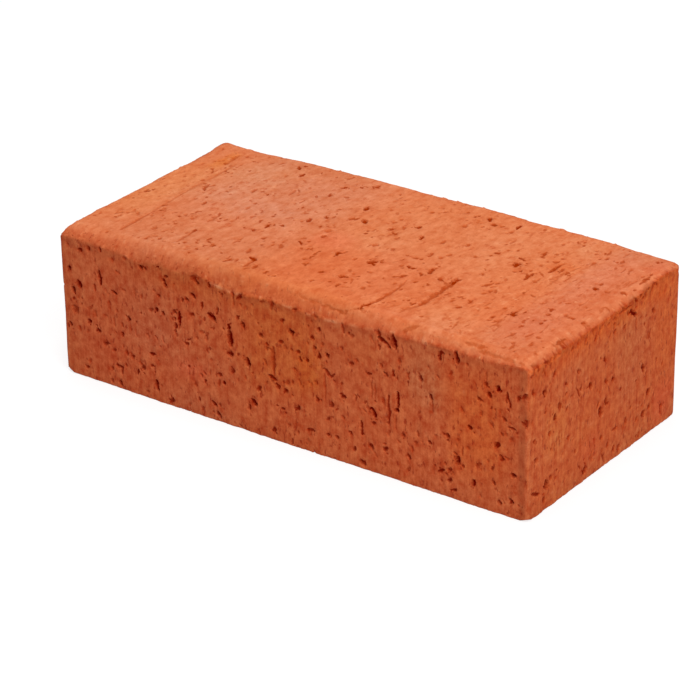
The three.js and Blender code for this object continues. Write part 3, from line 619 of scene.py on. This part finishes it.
# The die left a crest along each upright arris, beyond a shallow hollow. It is crispest at the near one.
along_side = (from_side < 0.5) & upright
feather = bell((from_end - 0.9) / 0.8) * along_side
beside = bell((from_end - 2.8) / 1.6) * along_side
turn = np.degrees(np.arctan2(abs(outward[:, 0]), abs(outward[:, 1])))
in_corner = (from_end < CORNER_RADIUS) & (from_side < CORNER_RADIUS) & upright
crest = (1 - smooth(abs(turn - CREST_TURN) / CREST_TURN_REACH)) * in_corner
crests = np.where(near, CREST_HEIGHT * crest, FEATHER_HEIGHT * feather)
relief += crests * (1 + 0.4 * noise(plain / [9, 9, 7], 22))
relief -= CREST_HOLLOW * beside

# Crumbs stick to all faces, most to the upper arrises and to the part of the bed that the wire scraped.
crumbs = np.maximum(noise(plain / 1.5, 20) - 0.5, 0)
near_arris = bell(from_arris / ARRIS_REACH) * upper
relief += crumbs * (np.where(upright, WALL_CRUMBS, BED_CRUMBS) + ARRIS_CRUMBS * near_arris)
header_side = bell(from_right / HEADER_ARRIS_REACH)
scraped_along = smooth((from_left - SCRAPED_FROM) / SCRAPED_FADE)
scraped = scraped_along * smooth((SCRAPED_TO - from_front) / SCRAPED_FADE) * ~upright * upper
relief += scraped * (SCRAPED_HEIGHT * noise(plain / [1.3, 2.6, 1.3], 25) + SCRAPED_CRUMBS * crumbs)
arris_height = ARRIS_HEIGHT + HEADER_ARRIS_HEIGHT * header_side
relief += arris_height * near_arris * noise(plain / [1.9, 1.6, 1.9], 23)

# The far header stands a little fuller at its foot, as a green brick slumps.
lean = FAR_HEADER_LEAN * (1 - 2 * smooth((z - 12) / 30))
relief += np.where(from_left < 1, lean, 0) * upright
moved = plain + outward * (relief - cut)[:, None]

# The upper arrises waver, and the lower ones are a little ragged. As the camera sees the bed, its far
# corner stands up, and its left and right ones are rubbed down.
waver = WAVER_HEIGHT * rough(plain * [1, 1, 0], 11.0, 30, 3)
moved[:, 2] += waver * bell(from_arris / WAVER_REACH) * (at_z > 0)
rise = value_at(from_left, BACK_RISE) * bell(from_back / 5)
rise += FAR_LUMP * bell(from_left / 6, (from_back - 3) / 6)
rise -= LEFT_RUB * bell(from_left / 5, from_front / 7)
rise -= RIGHT_RUB * bell(from_right / 4, from_back / 5)
moved[:, 2] += rise * bell(from_top / WAVER_REACH) * upper
burr = 0.22 * noise(plain * [0.4, 0.4, 0], 35) + 0.2 * noise(plain * [1.1, 1.1, 0], 36)
moved += outward * (burr * bell(z / BURR_REACH) * upright)[:, None] * [1, 1, 0]
moved[:, 2] = np.maximum(moved[:, 2], 0)

for side, reach in FOOT_KNOCKS:
    slope = 1 / np.array(reach)
    room = np.stack([LENGTH / 2 - side * moved[:, 0], moved[:, 1] + WIDTH / 2, moved[:, 2]], axis=1) @ slope
    missing = np.maximum(1 - room, 0) * (1 + 0.15 * noise(plain / 1.3, 37))
    moved += missing[:, None] * slope * [-side, 1, 1] / (slope @ slope)

# ---- Where the clay is wire-cut, where its crumbs are pale, where painted highlights and painted shade lie, and the tone of its patches
HEADER_ROLL, OTHER_ROLL = 0.3, 0.6  # how soon the rolls there take the bed's colour, as ROLL_REACH
# How dark the painted shade is under the upper arrises, beside the near crest and at the far rim, and the
# darker patches along the header's upper arris, partly its dark crumbs and partly painted shade
UNDER_ARRIS, BESIDE_CREST, FAR_RIM, CREASE_PATCHES = 0.45, 0.75, 0.7, 1.1  # how dark
# The crumbs are pale partly from paler clay and partly as painted highlight. The near crest's pale is a
# painted highlight.
WALL_PALE, BED_PALE, CREST_HIGHLIGHT = 0.8, 2.0, 0.8  # how pale the crumbs and the near crest are
CLOUDS = 0.5

# How far each point is wire-cut clay rather than die skin: wholly so beyond the rolled arris
front, back, end = from_sides(x, y)
over_front = front / front_reach(x)
over_front_roll = over_front / value_at(from_left, ROLL_REACH)
over_rest_roll = np.minimum(end / END_REACH, back / BACK_REACH)
over_rest_roll /= np.where(from_right < END_REACH, HEADER_ROLL, OTHER_ROLL)
short = [np.clip(1 - over, 0, 1) for over in (over_front_roll, over_rest_roll)]
beyond = np.minimum(over_front_roll, over_rest_roll) - 1
over_roll = np.where(beyond > 0, 1 + beyond, 1 - np.hypot(*short))
tattered = noise(plain / 5, 50) * (0.16 + 0.25 * header_side)
tattered += noise(plain / 2, 53) * (0.1 + 0.2 * header_side)
bed = np.where(upright, 0, smooth(over_roll + tattered))
bed = np.where(at_z == 0, 1 - upright, bed)

# Above 0: pale crumbs, partly paler clay and partly painted highlight, and painted highlights on the lip,
# the roll and the near crest. Below 0: painted shade on the roll, under the upper arrises, beside the near
# crest and at the far rim, and darker patches along the header's upper arris, partly its dark crumbs and
# partly painted shade.
broken = smooth(0.6 + 0.8 * noise(plain / 2.4, 51))
roll_light_and_shade = value_at(from_left, ROLL_LIGHT_AND_SHADE) * bell(over_front / 0.3) * ~upright
# Painted highlights on the lip, the roll and the near crest, then the pale crumbs, partly painted highlight
pale = np.maximum.reduce([lip, roll_light_and_shade, CREST_HIGHLIGHT * crest * near]) * broken
pale += np.where(upright, WALL_PALE, BED_PALE) * crumbs * (1 + scraped)
pale = np.clip(pale, 0, 1)
# Painted shade beside the near crest, at the far rim and under the upper arrises, and darker patches along
# the header's upper arris, partly its dark crumbs and partly painted shade
beside_crest = smooth((from_end - 0.2) / 0.8) * smooth((5 - from_end) / 2) * (front < 2) * upright
far_rim = smooth(1 - np.minimum(back, from_left) / 0.9) * ~upright * upper
crease_patches = smooth(0.3 + 1.1 * noise(plain / [3, 5, 6], 55) + 0.8 * noise(plain / [1.3, 1.3, 3], 56))
crease_patches = crease_patches * bell(from_right / 1.4) * bell(np.maximum(arris - z, 0) / 5)
shades = [-roll_light_and_shade, UNDER_ARRIS * bell(from_top / 4) * wall_top]
shades += [BESIDE_CREST * beside_crest * near, FAR_RIM * far_rim]
shades += [CREASE_PATCHES * crease_patches * value_at(from_front, HEADER_ROUGH)]
shaded = np.maximum.reduce(shades)
crumbs_and_painted_light = pale - shaded * (1 - pale) * (1 + 0.5 * noise(plain / 3.5, 54))

# The patches have soft and unsteady edges, and faint clouds lie over them all.
tint = np.zeros((len(plain), 3))
unsteady = rough(plain, 7.0, 60, 3)
for name, patches in PATCHES.items():
    face = faces[name]
    edge = 1 + 0.25 * unsteady[face.grid]
    for tone, strength, along, up, half_length, half_height in patches:
        far = ((face.along - along) / half_length) ** 4 + ((face.up - up) / half_height) ** 4
        shape = strength * np.exp(-far * edge)
        tint[face.grid.ravel()] += shape.ravel()[:, None] * np.log(TONES[tone])
clouds = CLOUDS * rough(plain, 26.0, 52, 3)
tint = np.exp(tint + clouds[:, None] * np.log(TONES["orange"]))

# ---- The mesh
scene = bpy.context.scene


def new_object(name, data):
    thing = bpy.data.objects.new(name, data)
    scene.collection.objects.link(thing)
    return thing


mesh = bpy.data.meshes.new("fired_brick")
mesh.from_pydata(moved / METRE, [], quads, shade_flat=False)
for name, values in (("pit", pit), ("dark", dark), ("bed", bed), ("crumbs_and_painted_light", crumbs_and_painted_light)):
    mesh.attributes.new(name, "FLOAT", "POINT").data.foreach_set("value", values)
mesh.attributes.new("tint", "FLOAT_VECTOR", "POINT").data.foreach_set("vector", tint.ravel())
mesh.validate()
brick = new_object("fired_brick", mesh)
thin = brick.modifiers.new("thin", "DECIMATE")
thin.ratio = min(MOST_TRIANGLES / (2 * len(quads)), 1)
bpy.context.view_layer.objects.active = brick
brick.select_set(True)
bpy.ops.object.modifier_apply(modifier=thin.name)
mesh = brick.data
mesh.shade_smooth()

# ---- Fired clay
def linear(*colour):
    """Red, green and blue of 0 to 255 as a shader takes them."""
    shares = np.array(colour) / 255
    return [*np.where(shares <= 0.04045, shares / 12.92, ((shares + 0.055) / 1.055) ** 2.4), 1.0]


class Nodes:
    """Makes the nodes of a material or world and joins them."""

    def __init__(self, owner):
        owner.use_nodes = True
        self.tree = owner.node_tree
        self.tree.nodes.clear()

    def add(self, kind, settings=None, **inputs):
        """An input goes by its name, or by i and its number."""
        node = self.tree.nodes.new("ShaderNode" + kind)
        for name, value in (settings or {}).items():
            setattr(node, name, value)
        for name, value in inputs.items():
            numbered = name[0] == "i" and name[1:].isdigit()
            socket = node.inputs[int(name[1:]) if numbered else name.replace("_", " ")]
            if isinstance(value, bpy.types.NodeSocket):
                self.tree.links.new(value, socket)
            else:
                socket.default_value = value
        return node

    def noise(self, scale, detail, roughness, low, high):
        """Noise that is 0 below low and 1 above high, with so many bumps to a metre along each axis"""
        at = self.add("TexCoord").outputs["Object"]
        place = self.add("Mapping", Vector=at, Scale=scale).outputs["Vector"]
        node = self.add("TexNoise", Vector=place, Scale=1.0, Detail=detail, Roughness=roughness)
        return self.stretch(node.outputs["Fac"], low, high)

    def stretch(self, value, low=0.0, high=1.0, least=0.0, most=1.0):
        """least where the value is low and most where it is high"""
        return self.add("MapRange", i0=value, i1=low, i2=high, i3=least, i4=most).outputs[0]

    def mix(self, share, a, b, blend="MIX"):
        """share of the colour b, and the rest of a"""
        settings = {"data_type": "RGBA", "blend_type": blend}
        return self.add("Mix", settings, i0=share, i6=a, i7=b).outputs[2]

    def mean(self, a, b, share):
        """share of the value b, and the rest of a"""
        return self.add("Mix", {"data_type": "FLOAT"}, i0=share, i2=a, i3=b).outputs[0]

    def attribute(self, name, output="Fac"):
        return self.add("Attribute", {"attribute_name": name}).outputs[output]

    def maths(self, operation, a, b):
        return self.add("Math", {"operation": operation}, i0=a, i1=b).outputs[0]

    def times(self, a, b):
        return self.maths("MULTIPLY", a, b)

    def seen(self):
        """1 for the rays that look at the white itself, 0 for those that only gather its light"""
        rays = self.add("LightPath").outputs
        mirrored = self.maths("MAXIMUM", rays["Is Glossy Ray"], rays["Is Transmission Ray"])
        return self.maths("MAXIMUM", rays["Is Camera Ray"], mirrored)


# Each pair is the darker and the lighter grain, or the colour on the skin and on the bed.
SKIN = (linear(187, 57, 10), linear(236, 127, 76))
WIRED = (linear(212, 99, 49), linear(240, 143, 95))
# The pale colour of the crumbs and of the painted highlights
HIGHLIGHTS_AND_CRUMBS = (linear(226, 118, 66), linear(255, 176, 128))
PORES = (linear(170, 44, 6), linear(200, 84, 36))
SHALLOW_MARKS = (linear(180, 47, 4), linear(203, 87, 30))
DEEP_MARKS = (linear(140, 14, 0), linear(162, 50, 2))
# SHADE darkens the clay where painted shade lies
SHADE = (0.74, 0.72, 0.68, 1)
SKIN_STREAKS, BED_STROKES, FINE_STREAKS = 0.25, 0.2, 0.3  # their share beside the grain
PORE_SHARE, HIGHLIGHT_SHARE = 0.7, 0.6
PIT_EDGE, PIT_MIDDLE, RAGGED_EDGE = 0.24, 0.72, 0.3
GRAIN_BUMP, PORE_BUMP, PIT_BUMP = 0.12, 0.15, 0.2
SMOOTHEST, ROUGHEST, SHINE = 0.88, 0.99, 0.2

clay = bpy.data.materials.new("fired_clay")
nodes = Nodes(clay)
on_bed = nodes.attribute("bed")
# Above 0 the pale crumbs and painted highlights, below 0 the painted shade
crumbs_and_light = nodes.attribute("crumbs_and_painted_light")

# The grain of the die skin and of the bed, toned by the patches
grain = nodes.noise((300, 300, 240), 4, 0.75, 0.32, 0.68)
skin_streak = nodes.noise((800, 800, 45), 2, 0.6, 0.3, 0.7)
skin = nodes.mix(nodes.mean(grain, skin_streak, SKIN_STREAKS), *SKIN)
bed_grain = nodes.noise((300, 190, 300), 4, 0.72, 0.3, 0.7)
strokes = nodes.noise((260, 30, 260), 2, 0.6, 0.3, 0.7)
wired = nodes.mix(nodes.mean(bed_grain, strokes, BED_STROKES), *WIRED)
colour = nodes.mix(on_bed, skin, wired)
colour = nodes.mix(1.0, colour, nodes.attribute("tint", "Vector"), "MULTIPLY")

# Fine pores, the pale crumbs and painted highlights, and the painted shade
skin_pores = nodes.noise((560, 560, 240), 2, 0.6, 0.62, 0.7)
bed_pores = nodes.noise((420, 260, 420), 2, 0.6, 0.6, 0.74)
pores = nodes.mean(skin_pores, bed_pores, on_bed)
colour = nodes.mix(nodes.times(pores, PORE_SHARE), colour, nodes.mix(on_bed, *PORES))
pale_crumbs_and_highlights = nodes.maths("MAXIMUM", crumbs_and_light, 0.0)
painted_shade_and_dark_crumbs = nodes.maths("MAXIMUM", nodes.times(crumbs_and_light, -1.0), 0.0)
colour = nodes.mix(nodes.times(pale_crumbs_and_highlights, HIGHLIGHT_SHARE), colour, nodes.mix(grain, *HIGHLIGHTS_AND_CRUMBS))
colour = nodes.mix(painted_shade_and_dark_crumbs, colour, SHADE, "MULTIPLY")

# The marks, with ragged edges: their dark colour is partly the darker clay inside them and partly painted
# shade in their hollows
ragged = nodes.noise((1100, 1100, 1100), 2, 0.6, 0.25, 0.75)
stray = nodes.times(nodes.maths("SUBTRACT", ragged, 0.5), RAGGED_EDGE)
in_pit = nodes.stretch(nodes.maths("ADD", nodes.attribute("pit"), stray), PIT_EDGE, PIT_MIDDLE)
in_pit = nodes.times(in_pit, nodes.attribute("dark"))
shallow = nodes.mix(on_bed, *SHALLOW_MARKS)
deep = nodes.mix(on_bed, *DEEP_MARKS)
colour = nodes.mix(in_pit, colour, nodes.mix(in_pit, shallow, deep))

fine = nodes.mean(nodes.mean(grain, skin_streak, FINE_STREAKS), bed_grain, on_bed)
height = nodes.maths("SUBTRACT", nodes.times(fine, GRAIN_BUMP), nodes.times(skin_pores, PORE_BUMP))
height = nodes.maths("SUBTRACT", height, nodes.times(in_pit, PIT_BUMP))
bump = nodes.add("Bump", Height=height, Strength=1.0, Distance=1 / METRE)
surface = nodes.add(
    "BsdfPrincipled",
    Base_Color=colour,
    Roughness=nodes.stretch(grain, least=SMOOTHEST, most=ROUGHEST),
    Normal=bump.outputs["Normal"],
    Specular_IOR_Level=nodes.stretch(in_pit, least=SHINE, most=0.0),
)
nodes.add("OutputMaterial", Surface=surface.outputs["BSDF"])
brick.data.materials.append(clay)

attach(brick, "root")
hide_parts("brick")

# ---- Studio, in metres and watts
FLOOR_SIZE = 12.0
FLOOR_GLOW = 0.78
FLOOR_ALBEDO = (0.6, 0.6, 0.6, 1)  # for the light it throws back
FLOOR_SHOWN = (0.3, 0.3, 0.3, 1)  # for the shadow on it
AMBIENT = 0.3
WHITE = (1, 1, 1, 1)
# Each lamp's place, diameter and power. They all point at the middle of the brick's foot.
LAMPS = {
    "overhead": ((0.0, 0.0, 2.4), 1.8, 26),
    "key": ((0.84, -0.62, 1.0), 0.8, 8),
}

floor_mesh = bpy.data.meshes.new("floor")
half = FLOOR_SIZE / 2
around = [(-half, -half, 0), (half, -half, 0), (half, half, 0), (-half, half, 0)]
floor_mesh.from_pydata(around, [], [(0, 1, 2, 3)])
floor = new_object("floor", floor_mesh)
paper = bpy.data.materials.new("paper")
nodes = Nodes(paper)
lit = nodes.add("BsdfDiffuse", Color=FLOOR_ALBEDO)
dim = nodes.add("BsdfDiffuse", Color=FLOOR_SHOWN)
glow = nodes.add("Emission", Color=WHITE, Strength=FLOOR_GLOW)
shown = nodes.add("AddShader", i0=dim.outputs[0], i1=glow.outputs[0])
both = nodes.add("MixShader", i0=nodes.seen(), i1=lit.outputs[0], i2=shown.outputs[0])
nodes.add("OutputMaterial", Surface=both.outputs[0])
floor_mesh.materials.append(paper)

world = bpy.data.worlds.new("studio")
scene.world = world
nodes = Nodes(world)
air = nodes.add("Background", Color=WHITE, Strength=AMBIENT)
white = nodes.add("Background", Color=WHITE, Strength=1.0)
both = nodes.add("MixShader", i0=nodes.seen(), i1=air.outputs[0], i2=white.outputs[0])
nodes.add("OutputWorld", Surface=both.outputs[0])

for name, (place, diameter, power) in LAMPS.items():
    lamp = bpy.data.lights.new(name, "AREA")
    lamp.shape = "DISK"
    lamp.size = diameter
    lamp.energy = power
    holder = new_object(name, lamp)
    holder.location = place
    holder.rotation_euler = (Vector((0, 0, 0)) - Vector(place)).to_track_quat("-Z", "Y").to_euler()

# The camera stands where the picture was taken from.
AZIMUTH, ELEVATION, ROLL = np.radians([36.7038, 25.9540, -1.0998])
FOCAL_LENGTH_PX, PICTURE_PX = 2830.326, 700
AIM_RIGHT, AIM_UP, DISTANCE = -6.6778, 17.7422, 1217.1306  # mm
SENSOR_WIDTH = 36.0  # mm
away = Vector(
    (np.sin(AZIMUTH) * np.cos(ELEVATION), -np.cos(AZIMUTH) * np.cos(ELEVATION), np.sin(ELEVATION))
)
level_right = (-away).cross(Vector((0, 0, 1))).normalized()
level_up = level_right.cross(-away)
right = np.cos(ROLL) * level_right + np.sin(ROLL) * level_up
up = -np.sin(ROLL) * level_right + np.cos(ROLL) * level_up
camera_data = bpy.data.cameras.new("camera")
camera_data.sensor_width = SENSOR_WIDTH
camera_data.lens = FOCAL_LENGTH_PX * SENSOR_WIDTH / PICTURE_PX
camera = new_object("camera", camera_data)
pose = Matrix((right, up, away)).transposed().to_4x4()
pose.translation = (AIM_RIGHT * right + AIM_UP * up + DISTANCE * away) / METRE
camera.matrix_world = pose
scene.camera = camera
scene.view_settings.view_transform = "Standard"
